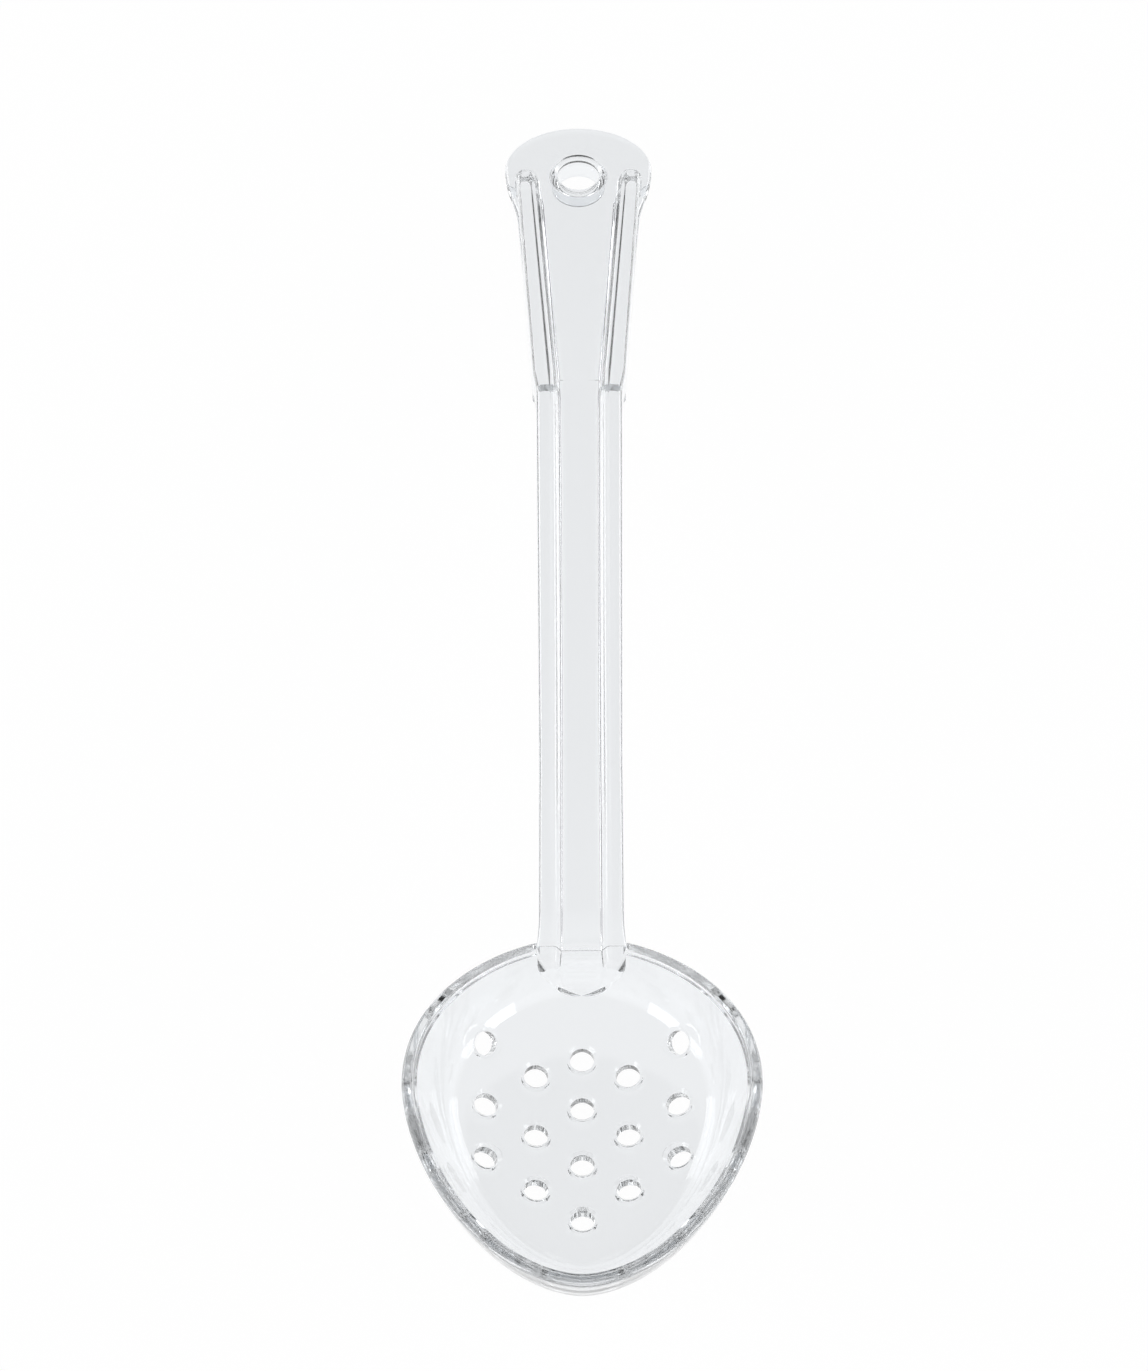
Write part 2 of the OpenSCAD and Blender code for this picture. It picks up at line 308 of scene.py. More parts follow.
class SpoonStage(bpy.types.PropertyGroup):
    """The camera: its height, roll, distance, lens and aim."""

    elevation: FloatProperty(
        name="Elevation",
        description="Camera's height over the floor",
        default=radians(54.4),
        subtype="ANGLE",
    )
    roll: FloatProperty(name="Roll", description="Camera's roll", default=radians(0.2), subtype="ANGLE")
    distance: length("Distance", "Camera's distance from its aim", 1.2925)
    lens: FloatProperty(name="Lens", description="Focal length in millimetres", default=178.8)
    aim: FloatVectorProperty(
        name="Aim",
        description="Place that the camera looks at",
        subtype="TRANSLATION",
        default=(-1.23 * MM, -3.1 * MM, 15.5 * MM),
    )


# Working in edit mode

def only(piece):
    """Makes a piece the one that is selected and active."""
    if bpy.context.mode != "OBJECT":
        bpy.ops.object.mode_set(mode="OBJECT")
    bpy.ops.object.select_all(action="DESELECT")
    piece.select_set(True)
    bpy.context.view_layer.objects.active = piece


def edit(piece):
    """Opens a piece for editing and returns its edit mesh."""
    only(piece)
    bpy.ops.object.mode_set(mode="EDIT")
    bpy.ops.mesh.select_mode(type="VERT")
    return bmesh.from_edit_mesh(piece.data)


def skin(name, rings):
    """A closed skin: one ring is drawn, then extruded from place to place, and both ends are filled."""
    if bpy.context.mode != "OBJECT":
        bpy.ops.object.mode_set(mode="OBJECT")
    bpy.ops.object.select_all(action="DESELECT")
    bpy.ops.mesh.primitive_circle_add(vertices=len(rings[0]))
    piece = bpy.context.object
    piece.name = name
    mesh = edit(piece)
    place = mesh.verts.layers.int.new("place")
    mesh.verts.ensure_lookup_table()
    for number, vertex in enumerate(mesh.verts):
        vertex[place] = number
        vertex.co = rings[0][number]
    bmesh.update_edit_mesh(piece.data)
    bpy.ops.mesh.select_all(action="SELECT")
    for ring in rings[1:]:
        bpy.ops.mesh.extrude_edges_move()
        mesh = bmesh.from_edit_mesh(piece.data)
        place = mesh.verts.layers.int["place"]
        for vertex in mesh.verts:
            if vertex.select:
                vertex.co = ring[vertex[place]]
        bmesh.update_edit_mesh(piece.data)
    bpy.ops.mesh.edge_face_add()
    bpy.ops.mesh.select_all(action="DESELECT")
    bpy.ops.mesh.select_non_manifold(extend=False)
    bpy.ops.mesh.edge_face_add()
    bpy.ops.mesh.select_all(action="SELECT")
    bpy.ops.mesh.normals_make_consistent(inside=False)
    if bmesh.from_edit_mesh(piece.data).calc_volume(signed=True) < 0:
        bpy.ops.mesh.flip_normals()
    bpy.ops.object.mode_set(mode="OBJECT")
    piece.matrix_world = Matrix.Identity(4)
    return piece


def combine(piece, tool, operation):
    """Joins a tool to a piece, or cuts the piece with it, and removes the tool."""
    only(piece)
    bpy.ops.object.modifier_add(type="BOOLEAN")
    modifier = piece.modifiers[-1]
    modifier.operation = operation
    modifier.solver = "EXACT"
    modifier.material_mode = "TRANSFER"
    modifier.object = tool
    bpy.ops.object.modifier_apply(modifier=modifier.name)
    bpy.data.objects.remove(tool)
    if not piece.data.polygons:
        raise RuntimeError(f"nothing is left of {piece.name}")
    return piece


def circle(radius, height, steps=BORE_STEPS):
    """A level ring round the origin."""
    return [
        Vector((radius * cos(2 * pi * i / steps), radius * sin(2 * pi * i / steps), height))
        for i in range(steps)
    ]


def fillet(points):
    """Rounds the corners of an open outline, each given as across, up and its own radius."""
    rounded = [points[0][:2]]
    for before, (x, z, radius), after in zip(points, points[1:], points[2:]):
        corner = Vector((x, z))
        back, on = Vector(before[:2]) - corner, Vector(after[:2]) - corner
        cut = max(radius * tan((pi - back.angle(on)) / 2), SINK)
        cut = min(cut, FILLET_SHARE * back.length, FILLET_SHARE * on.length)
        start, end = corner + back.normalized() * cut, corner + on.normalized() * cut
        for step in range(EDGE_STEPS + 1):
            share = step / EDGE_STEPS
            rounded.append(tuple(start.lerp(corner, share).lerp(corner.lerp(end, share), share)))
    return rounded + [points[-1][:2]]


# The bowl

class Dish:
    """The bowl's outer and inner faces, by angle round the widest place and share of the way out."""

    def __init__(self, sizes):
        self.sizes = sizes
        self.middle = BOWL_HIGH.y - sizes.widest
        self.back = BOWL_HIGH.y

    def rim(self, y):
        """Height of the rim's plane."""
        fall = (self.sizes.tip_rim - self.sizes.back_rim) / self.sizes.long
        return self.sizes.back_rim + (self.back - y) * fall

    def edge(self, angle, inset):
        """A point of the outline in plan, inset from the outer face."""
        across, along = cos(angle), sin(angle)
        x = (self.sizes.width / 2 - inset) * abs(across) ** SIDE_POWER
        if along > 0:
            y = (self.sizes.widest - inset) * along ** BACK_POWER
        else:
            y = -(self.sizes.long - self.sizes.widest - inset) * (-along) ** TIP_POWER
        return Vector((x if across > 0 else -x, self.middle + y, 0))

    @staticmethod
    def rise(share):
        """Height of a dish as a share of its rim's height."""
        return DISH_SHARE * share ** DISH_POWER + (1 - DISH_SHARE) * share ** WALL_POWER

    def point(self, share, angle, inset):
        """A point of the face that lies inset from the outer one."""
        edge = self.edge(angle, inset)
        height = inset + (self.rim(edge.y) - inset) * self.rise(share)
        return Vector((share * edge.x, self.middle + share * (edge.y - self.middle), height))

    def back_wall(self, share):
        """A point of the inner face on the middle line behind the widest place, and its normal."""
        steps = (-NORMAL_STEP_SHARE, NORMAL_STEP_SHARE)
        low, high = (self.point(share + step, pi / 2, self.sizes.wall) for step in steps)
        along = (high - low).normalized()
        return (low + high) / 2, Vector((0, -along.z, along.y))


def bowl_rings(dish):
    """Rings from the outer middle of the bowl, over the rim, to the inner middle."""
    sizes = dish.sizes
    angles = [2 * pi * i / BOWL_STEPS for i in range(BOWL_STEPS)]
    steepness = DISH_POWER * DISH_SHARE + WALL_POWER * (1 - DISH_SHARE)
    top_share = 1 - sizes.rim_round / (sizes.tip_rim * steepness)
    shares = [top_share * (1 - (1 - i / DISH_STEPS) ** RING_POWER) for i in range(1, DISH_STEPS + 1)]
    shares.insert(0, shares[0] * FIRST_RING_SHARE)
    outer = [[dish.point(share, a, 0) for a in angles] for share in shares]
    inner = [[dish.point(share, a, sizes.wall) for a in angles] for share in reversed(shares)]
    start = (1 - top_share) * sizes.widest
    rim = []
    for inset, drop in rim_profile(sizes, start):
        edges = [dish.edge(a, inset) for a in angles]
        rim.append([edge + Vector((0, 0, dish.rim(edge.y) - drop)) for edge in edges])
    return outer + rim + inner


def rim_profile(sizes, start):
    """Inset and drop below the rim's plane of each ring over the rim."""
    radius = sizes.rim_round
    turns = [radians(90 * i / EDGE_STEPS) for i in range(1, EDGE_STEPS + 1)]
    over = [(start + (radius - start) * (1 - cos(t)), radius * (1 - sin(t))) for t in turns]
    back = [(sizes.wall - inset, drop) for inset, drop in reversed(over)]
    return over + back


def spool(name, bore, bevel, top, foot):
    """A cutter for a round hole from top to foot that bevels both of its edges."""
    radius = bore / 2
    axis = (top - foot).normalized()
    turn = axis.to_track_quat("Z", "Y").to_matrix()
    outer = radius + (1 + BEVEL_OVER_SHARE) * bevel
    edge = [(outer, BEVEL_CLEAR_SHARE * bevel), (outer, BEVEL_OVER_SHARE * bevel), (radius, -bevel)]
    rings = [[top + turn @ point for point in circle(across, up)] for across, up in edge]
    rings += [[foot + turn @ point for point in circle(across, -up)] for across, up in reversed(edge)]
    return skin(name, rings)


def drill(bowl, dish):
    """Cuts the drain holes square to the wall, each with its edges bevelled."""
    sizes = dish.sizes
    above = Vector((0, 0, sizes.tip_rim))
    for column, rows in DRAIN_SHARES.items():
        for side in ((1, -1) if column else (1,)):
            for row in rows:
                y = dish.back - row * sizes.long + sizes.drain_lead
                place = Vector((side * column * sizes.width / 2, y, 0))
                _, top, normal, _ = bowl.ray_cast(place + above, -above.normalized())
                _, foot, _, _ = bowl.ray_cast(top - normal * sizes.wall / WALL_PARTS, -normal)
                hole = spool("drain", sizes.drain_bore, sizes.drain_bevel, top, foot)
                combine(bowl, hole, "DIFFERENCE")


# The handle, drawn level with its end at the origin and its top on z = 0, and then set on its slope

def handle_place():
    """The matrix that sets the level handle in its place."""
    turn = Matrix.Rotation(-SLOPE, 4, "X")
    return Matrix.Translation(HANG_TOP) @ turn


def section(half, foot, depth, web, sizes, trough, top=0.0, level=None, lean=0.0, spread=0.0):
    """A beam section: a trough on top with its slopes starting at foot, and a channel below, mirrored.

    Where it lies on a wall, its sides lean out down to that level and then spread into the wall.
    """
    slope = min(sizes.slope, SLOPE_SHARE * (half - foot))
    wall = foot + min(sizes.channel_spread, CHANNEL_SHARE * (half - foot))
    draft = min(sizes.draft, CHANNEL_SHARE * (half - wall))
    level = depth / 2 if level is None else level
    right = fillet([
        (0, -trough, 0),
        (foot, -trough, sizes.trough_round),
        (foot + slope, top, sizes.crest_round),
        (half - lean, top, sizes.shoulder),
        (half, -level, sizes.landing_blend),
        (half + spread, -depth, sizes.rail_round),
        (wall + draft, -depth, sizes.rail_round),
        (wall, -web, sizes.channel_round),
        (0, -web, 0),
    ])
    left = [(-x, z) for x, z in reversed(right[1:-1])]
    return right + left


def lay(outline, y, z, tilt):
    """A section stood across the handle, with its top at y and z and leaning by tilt."""
    return [Vector((x, y + up * sin(tilt), z + up * cos(tilt))) for x, up in outline]


def stem_half(sizes, share):
    """Half width of the stem at a share of the way from the bend to its swelling."""
    return (sizes.stem_width + (sizes.stem_top - sizes.stem_width) * share) / 2


def curve(start, ahead, before, end, t):
    """A point of the curve that leaves its start towards ahead and comes to its end from before."""
    return start * (1 - t) ** 3 + ahead * 3 * t * (1 - t) ** 2 + before * 3 * t * t * (1 - t) + end * t ** 3


def landing_top(sizes, dish, share):
    """A point on the landing's crest, over the rim and down the wall.

    With it come the trough's depth, the half width, the lift of the sides off the wall and the share of
    the blend into the wall.
    """
    y = dish.back - dish.sizes.wall
    start = Vector((0, y, dish.rim(y) + sizes.saddle))
    wall, normal = dish.back_wall(LANDING_WALL)
    meet = wall + normal * sizes.landing_proud
    down = Vector((0, -normal.z, normal.y))
    span = (meet - start).length
    if share <= LANDING_TURN:
        t = share / LANDING_TURN
        out = Vector((0, -cos(LANDING_SLOPE), -sin(LANDING_SLOPE)))
        ahead = start + out * span * LANDING_START_SHARE
        before = meet - down * span * LANDING_MEET_SHARE
        top = curve(start, ahead, before, meet, t)
        left = span * (1 - t) + sizes.landing_nose
        fade = 1
        height = sizes.saddle + (sizes.landing_proud - sizes.saddle) * t
        normal = Vector((0, 0, 1)).lerp(normal, t)
        blend = t
    else:
        t = sin(END_TURN * (share - LANDING_TURN) / (1 - LANDING_TURN))
        wall, normal = dish.back_wall(LANDING_WALL + (LANDING_FOOT - LANDING_WALL) * t)
        fade = sqrt(1 - t * t)
        height = sizes.landing_proud * fade
        top = wall + normal * height
        left = sizes.landing_nose * (1 - t)
        blend = 1
    reach = span + sizes.landing_nose
    half = (sizes.stem_width / 2 + sizes.flare) * (1 - (1 - left / reach) ** 2) ** LANDING_POWER
    lift = (height - half ** 2 / (2 * dish.sizes.widest)) * normal.normalized()
    return top, sizes.trough * fade, half, lift, blend


def landing_rings(sizes, dish, flat):
    """Rings of the landing from its nose to the back of the rim, each rooted inside the bowl's wall."""
    rings = []
    for step in range(ARCH_STEPS, 0, -1):
        share = step / ARCH_STEPS
        top, trough, half, lift, blend = landing_top(sizes, dish, share)
        root = dish.back_wall(LANDING_ROOT + (LANDING_FOOT - LANDING_ROOT) * share)[0]
        root += Vector((0, dish.sizes.wall / 2, 0))
        up = (top - root).normalized()
        depth = (top - root).length
        least, greatest = (part * depth for part in LANDING_LEVEL_SHARES)
        level = min(max(lift.dot(up), least), greatest)
        foot = min(sizes.strip / 2, LANDING_STRIP_SHARE * half)
        lean = blend * min(sizes.landing_lean, LANDING_LEAN_SHARE * (half - foot))
        spread = blend * sizes.landing_spread
        web = LANDING_WEB_SHARE * depth
        outline = section(half, foot, depth, web, sizes, trough, 0, level, lean, spread)
        rings.append([flat @ (top + Vector((x, 0, 0)) + up * z) for x, z in outline])
    return rings


def bar_rings(sizes, dish):
    """Rings of the bar: the landing, the bend, the stem and the grip's rails."""
    flat = handle_place().inverted()
    end = sizes.hang_inset
    stop = end - sizes.grip
    start = (flat @ Vector((0, STEM_LOW.y, STEM_HIGH.z))).y
    rings = landing_rings(sizes, dish, flat)
    strip, stop_strip = sizes.strip / 2, sizes.stop_strip / 2
    sweep = SLOPE + LANDING_SLOPE
    for step in range(BEND_STEPS, -1, -1):
        turn = sweep * step / BEND_STEPS
        y, z = start - sizes.bend * sin(turn), -sizes.bend * (1 - cos(turn))
        near = max(0, 1 - sizes.bend * (sweep - turn) / (NECK_RUN * sizes.web))
        half = sizes.stem_width / 2 + sizes.flare * near ** 2
        web = sizes.web + CHANNEL_CLOSE * (sizes.depth - sizes.web) * near ** 2
        outline = section(half, strip, sizes.depth, web, sizes, sizes.trough)
        rings.append(lay(outline, y, z, -turn + (turn + NECK_LEAN) * near))
    reach = stop - sizes.swell - start
    for step in range(1, STEM_STEPS + 1):
        share = step / STEM_STEPS
        foot = strip + (stop_strip - strip) * STEM_WIDENING_SHARE * share ** 2
        outline = section(stem_half(sizes, share), foot, sizes.depth, sizes.web, sizes, sizes.trough)
        rings.append(lay(outline, start + reach * share, 0, 0))
    for step in range(1, SWELL_STEPS + 1):
        share = step / SWELL_STEPS
        ease = 1 - cos(pi * share / 2)
        half = (sizes.stem_top + (sizes.stop_width - sizes.stem_top) * ease) / 2
        widening = STEM_WIDENING_SHARE + (1 - STEM_WIDENING_SHARE) * share
        foot = strip + (stop_strip - strip) * widening
        outline = section(half, foot, sizes.depth, sizes.web, sizes, sizes.trough)
        rings.append(lay(outline, start + reach + (sizes.swell - STOP_RUN) * share, 0, 0))
    rings += grip_rail_rings(sizes, stop, end, stop_strip)
    return rings


def grip_half(sizes, y):
    """Half width of the grip's sides at y, between the stop shoulders and the spreading end."""
    stop = sizes.hang_inset - sizes.grip
    taper = (sizes.grip_top - sizes.grip_width) / 2 / (sizes.grip - sizes.end_arch - sizes.end_spread)
    return sizes.grip_width / 2 + taper * (y - stop)


def grip_rise(sizes, y):
    """Height of the grip's web at y above the line of the stem's trough."""
    return sizes.trough * (y / (sizes.grip - sizes.hang_inset) + 1)


def grip_rail_rings(sizes, stop, end, stop_strip):
    """Rings of the grip's rails, which spread and end in rounded fingers above and below the web."""
    finish = end - sizes.rail_inset
    last_outer = grip_half(sizes, finish) - sizes.lip
    last_foot = sizes.end_strip / 2
    radius = (last_outer - last_foot) / 2
    middle = (last_outer + last_foot) / 2
    rings = []
    for step in range(GRIP_STEPS + 1):
        share = step / GRIP_STEPS
        y = stop + (finish - radius - stop) * share
        half = grip_half(sizes, y) - sizes.lip * share
        foot = stop_strip + (last_foot - stop_strip) * share
        sink = SINK * share
        outline = section(half, foot, sizes.grip_depth, sizes.web - sink, sizes, sizes.trough + sink)
        rings.append(lay(outline, y, grip_rise(sizes, y), 0))
    for step in range(1, 2 * EDGE_STEPS + 1):
        turn = END_TURN * step / (2 * EDGE_STEPS)
        half, foot = middle + radius * cos(turn), middle - radius * cos(turn)
        sunk = sizes.trough + SINK
        top = -sunk * (1 - cos(turn))
        depth = sizes.grip_depth - sizes.rail_round * (1 - cos(turn))
        outline = section(half, foot, depth, sizes.web - SINK, sizes, sunk, top)
        y = finish - radius + radius * sin(turn)
        rings.append(lay(outline, y, grip_rise(sizes, y), 0))
    return rings


def plate_outline(sizes):
    """The right side of the grip's web in plan, from inside the rails to the middle of the end."""
    end = sizes.hang_inset
    start = end - sizes.grip + SINK
    finish = end - sizes.rail_inset
    spread = end - sizes.end_arch - sizes.end_spread
    loss = STOP_LIP_SHARE * sizes.lip
    points = []
    for step in range(GRIP_STEPS):
        y = start + (spread - start) * step / GRIP_STEPS
        points.append((grip_half(sizes, y) - loss * (finish - y) / (finish - start), y))
    for step in range(ARCH_STEPS // 2):
        share = (1 - cos(pi * step / (ARCH_STEPS // 2))) / 2
        y = spread + sizes.end_spread * step / (ARCH_STEPS // 2)
        half = grip_half(sizes, y) - loss * max(finish - y, 0) / (finish - start)
        points.append((half * (1 - share) + sizes.end_width / 2 * share, y))
    for step in range(ARCH_STEPS + 1):
        angle = radians(90 * step / ARCH_STEPS)
        y = end - sizes.end_arch + sizes.end_arch * sin(angle)
        points.append((sizes.end_width / 2 * cos(angle), y))
    return points


def plate(sizes):
    """The grip's web: its outline is filled, extruded down and rounded along both edges."""
    top, foot = -sizes.trough - SINK / PLATE_PARTS, -sizes.web + SINK / PLATE_PARTS
    right = plate_outline(sizes)
    outline = right + [(-x, y) for x, y in reversed(right[:-1])]
    bpy.ops.object.select_all(action="DESELECT")
    bpy.ops.mesh.primitive_circle_add(vertices=len(outline), fill_type="NGON")
    piece = bpy.context.object
    piece.name = "plate"
    mesh = edit(piece)
    mesh.verts.ensure_lookup_table()
    for vertex, (x, y) in zip(mesh.verts, outline):
        vertex.co = (x, y, top)
    bmesh.update_edit_mesh(piece.data)
    bpy.ops.mesh.select_all(action="SELECT")
    bpy.ops.mesh.extrude_region_move(TRANSFORM_OT_translate={"value": (0, 0, foot - top)})
    bpy.ops.mesh.select_all(action="SELECT")
    bpy.ops.mesh.normals_make_consistent(inside=False)
    for level, radius in ((top, sizes.plate_round), (foot, sizes.plate_under)):
        choose_edges(piece, lambda edge: all(abs(v.co.z - level) < LEVEL_TOLERANCE for v in edge.verts))
        bpy.ops.mesh.bevel(offset=radius, segments=EDGE_STEPS, affect="EDGES", clamp_overlap=False)
    for vertex in bmesh.from_edit_mesh(piece.data).verts:
        vertex.co.z += grip_rise(sizes, vertex.co.y)
    bmesh.update_edit_mesh(piece.data)
    bpy.ops.object.mode_set(mode="OBJECT")
    return piece


def choose_edges(piece, test):
    """Selects the edges that pass a test, and no others."""
    bpy.ops.mesh.select_mode(type="EDGE")
    bpy.ops.mesh.select_all(action="DESELECT")
    mesh = bmesh.from_edit_mesh(piece.data)
    for one in mesh.edges:
        one.select_set(test(one))
    mesh.select_flush_mode()
    bmesh.update_edit_mesh(piece.data)


def boss(sizes):
    """The boss under the web, blended into it and rounded along its lower edge."""
    radius = sizes.boss / 2
    web = sizes.trough - sizes.web
    outline = fillet([
        (radius + sizes.boss_blend, web + SINK, 0),
        (radius, web, sizes.boss_blend),
        (radius, -HANG_DEPTH, sizes.rail_round),
        (radius / 2, -HANG_DEPTH, 0),
    ])
    return skin("boss", [circle(across, up, 2 * BORE_STEPS) for across, up in outline])


def handle(sizes, dish):
    """The whole handle, from the landing's nose to the rounded end."""
    piece = skin("handle", bar_rings(sizes, dish))
    combine(piece, plate(sizes), "UNION")
    combine(piece, boss(sizes), "UNION")
    hole = spool(
        "hole", sizes.hang_bore, sizes.hang_bevel, Vector((0, 0, 0)), Vector((0, 0, -HANG_DEPTH))
    )
    combine(piece, hole, "DIFFERENCE")
    only(piece)
    piece.matrix_world = handle_place()
    bpy.ops.object.transform_apply(location=True, rotation=True, scale=True)
    return piece


# Materials

def add_node(tree, kind, settings=None, links=None):
    """Adds a node with its settings, and links its inputs."""
    node = tree.nodes.new(kind)
    for name, value in (settings or {}).items():
        if name in node.inputs:
            node.inputs[name].default_value = value
        else:
            setattr(node, name, value)
    for name, socket in (links or {}).items():
        tree.links.new(socket, node.inputs[name])
    return node


def new_material(name):
    """An empty node material."""
    material = bpy.data.materials.new(name)
    material.use_nodes = True
    material.node_tree.nodes.clear()
    return material


def clear_polycarbonate(finish):
    """Polished clear polycarbonate, injection moulded: almost colourless, with a haze that softens edges."""
    material = new_material("clear_polycarbonate_moulded")
    tree = material.node_tree
    shader = add_node(tree, "ShaderNodeBsdfPrincipled", {
        "Base Color": (*finish.tint, 1),
        "Roughness": finish.haze,
        "IOR": finish.ior,
        "Transmission Weight": 1.0,
    })
    add_node(tree, "ShaderNodeOutputMaterial", links={"Surface": shader.outputs["BSDF"]})
    return material


def inner_boundary():
    """The boundary between two regions of one moulding, which the eye doesn't see."""
    material = new_material(BOUNDARY)
    tree = material.node_tree
    shader = add_node(tree, "ShaderNodeBsdfPrincipled", {"Alpha": 0.0, "Roughness": 1.0})
    add_node(tree, "ShaderNodeOutputMaterial", links={"Surface": shader.outputs["BSDF"]})
    return material


# Dividing the moulding

def copy_of(name, source):
    """A copy of an object with its own mesh."""
    only(source)
    bpy.ops.object.duplicate()
    piece = bpy.context.object
    piece.name = name
    return piece


def trim(piece, point, normal):
    """Cuts a piece with a plane, drops what lies on the normal's side and closes the cut."""
    edit(piece)
    bpy.ops.mesh.select_mode(type="FACE")
    bpy.ops.mesh.select_all(action="SELECT")
    bpy.ops.mesh.bisect(plane_co=point, plane_no=normal, use_fill=True, clear_outer=True)
    mesh = bmesh.from_edit_mesh(piece.data)
    for face in mesh.faces:
        if face.select:
            face.material_index = 1
    bmesh.update_edit_mesh(piece.data)
    bpy.ops.object.mode_set(mode="OBJECT")


def finish_piece(piece, node):
    """Shades a piece, hangs it on the root body and hides the part of the solids that it stands for."""
    only(piece)
    bpy.ops.object.shade_smooth_by_angle(angle=SMOOTH_ANGLE)
    bpy.ops.object.modifier_add(type="WEIGHTED_NORMAL")
    piece.modifiers[-1].keep_sharp = True
    bpy.ops.object.modifier_apply(modifier=piece.modifiers[-1].name)
    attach(piece, "root")
    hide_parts(node)


def bend_plane():
    """A point of the plane where the neck passes into the stem, and its normal towards the grip."""
    return Vector((0, STEM_LOW.y, STEM_HIGH.z)), handle_place().to_3x3() @ Vector((0, 1, 0))


def stop_plane(sizes):
    """A point of the plane just below the stop shoulders, and its normal towards the grip."""
    place = handle_place()
    y = sizes.hang_inset - sizes.grip - STOP_RUN - SINK / STOP_PARTS
    return place @ Vector((0, y, 0)), place.to_3x3() @ Vector((0, 1, 0))


def see_through(tool):
    """Gives a cutter the look of an inner boundary, which then lies on the faces that it cuts."""
    tool.data.materials.append(bpy.data.materials[BOUNDARY])
    return tool


def neck_cutter():
    """A block round the neck, whose slanted foot runs through the bowl's wall below the landing."""
    beyond = bend_plane()[0].y + NECK_HALF
    tip, foot = NECK_CUT[0][0], NECK_CUT[-1][1]
    profile = ((tip, CUT_TOP), *NECK_CUT, (beyond, foot), (beyond, CUT_TOP))
    rings = [[Vector((x, y, z)) for y, z in profile] for x in (-NECK_HALF, NECK_HALF)]
    return see_through(skin("cutter", rings))


def eye_cutter():
    """A cylinder round the hanging hole and its boss."""
    rings = [circle(EYE_RADIUS, height, 2 * BORE_STEPS) for height in (-EYE_REACH, EYE_REACH)]
    tool = skin("cutter", rings)
    tool.data.transform(handle_place())
    return see_through(tool)


def moulding():
    """The whole spoon, from which the pieces are taken."""
    return bpy.data.objects[MOULDING]


# The stage

def white_floor():
    """A white table top: plain white to the eye, and it keeps a faint shadow."""
    material = new_material("white_table")
    tree = material.node_tree
    diffuse = add_node(tree, "ShaderNodeBsdfDiffuse", {"Color": (*hex_colour(FLOOR_COLOUR), 1)})
    white = (*hex_colour(FLOOR_WHITE), 1)
    glow = add_node(tree, "ShaderNodeEmission", {"Color": white, "Strength": FLOOR_LIGHT})
    path = add_node(tree, "ShaderNodeLightPath")
    seen = add_node(tree, "ShaderNodeMath", {"operation": "MAXIMUM"})
    tree.links.new(path.outputs["Is Camera Ray"], seen.inputs[0])
    tree.links.new(path.outputs["Is Glossy Ray"], seen.inputs[1])
    shown = add_node(tree, "ShaderNodeMath", {"operation": "MAXIMUM"})
    tree.links.new(seen.outputs[0], shown.inputs[0])
    tree.links.new(path.outputs["Is Transmission Ray"], shown.inputs[1])
    share = add_node(tree, "ShaderNodeMath", {"operation": "MULTIPLY"})
    tree.links.new(shown.outputs[0], share.inputs[0])
    share.inputs[1].default_value = FLOOR_GLOW
    mix = add_node(tree, "ShaderNodeMixShader", links={"Fac": share.outputs[0]})
    tree.links.new(diffuse.outputs[0], mix.inputs[1])
    tree.links.new(glow.outputs[0], mix.inputs[2])
    add_node(tree, "ShaderNodeOutputMaterial", links={"Surface": mix.outputs[0]})
    return material


def set_ramp(node, start, end):
    """Gives a ramp a grey at its start and another at its end."""
    for element, (place, grey) in zip(node.color_ramp.elements, (start, end)):
        element.position = place
        element.color = (grey, grey, grey, 1)


def studio_world():
    """A studio with white walls, a grey ceiling and a dark opening behind the spoon."""
    world = bpy.data.worlds.new("studio")
    world.use_nodes = True
    tree = world.node_tree
    tree.nodes.clear()
    where = add_node(tree, "ShaderNodeTexCoord")
    parts = add_node(tree, "ShaderNodeSeparateXYZ", links={"Vector": where.outputs["Generated"]})
    ceiling = add_node(tree, "ShaderNodeValToRGB", links={"Fac": parts.outputs["Z"]})
    set_ramp(ceiling, (WALL_TOP, WALLS), (CEILING_START, CEILING))
    toward = add_node(tree, "ShaderNodeVectorMath", {"operation": "DOT_PRODUCT"})
    tree.links.new(where.outputs["Generated"], toward.inputs[0])
    toward.inputs[1].default_value = Vector(DARK_SIDE).normalized()
    opening = add_node(tree, "ShaderNodeValToRGB", links={"Fac": toward.outputs["Value"]})
    set_ramp(opening, (OPENING_EDGE, WALLS), (OPENING_DARK, DARK))
    both = add_node(tree, "ShaderNodeMix", {"data_type": "RGBA", "blend_type": "DARKEN"})
    both.inputs["Factor"].default_value = 1.0
    tree.links.new(ceiling.outputs["Color"], both.inputs[MIX_FIRST])
    tree.links.new(opening.outputs["Color"], both.inputs[MIX_SECOND])
    glow = add_node(tree, "ShaderNodeBackground", links={"Color": both.outputs[MIX_RESULT]})
    add_node(tree, "ShaderNodeOutputWorld", links={"Surface": glow.outputs[0]})
    return world


def add_lights():
    """The soft boxes, low at both sides of the spoon."""
    for side in (-1, 1):
        for (x, y, z), wide, tall, brightness in SOFT_BOXES:
            soft_box((side * x, y, z), wide, tall, brightness)


def soft_box(place, wide, tall, brightness):
    """A soft box that faces the spoon, with its brightness as seen by the eye."""
    bpy.ops.object.light_add(type="AREA", location=place)
    lamp = bpy.context.object
    lamp.data.shape = "RECTANGLE"
    lamp.data.size, lamp.data.size_y = wide, tall
    lamp.data.energy = brightness * pi * wide * tall
    lamp.rotation_euler = (-lamp.location).to_track_quat("-Z", "Y").to_euler()


def add_camera(stage):
    """The camera, which looks along the handle from above the bowl."""
    aim = Vector(stage.aim)
    away = Vector((0, -cos(stage.elevation), sin(stage.elevation)))
    camera = bpy.data.objects.new("camera", bpy.data.cameras.new("camera"))
    bpy.context.scene.collection.objects.link(camera)
    camera.location = aim + away * stage.distance
    roll = Matrix.Rotation(stage.roll, 3, -away)
    camera.rotation_euler = (roll @ (-away).to_track_quat("-Z", "Y").to_matrix()).to_euler()
    camera.data.lens = stage.lens
    bpy.context.scene.camera = camera


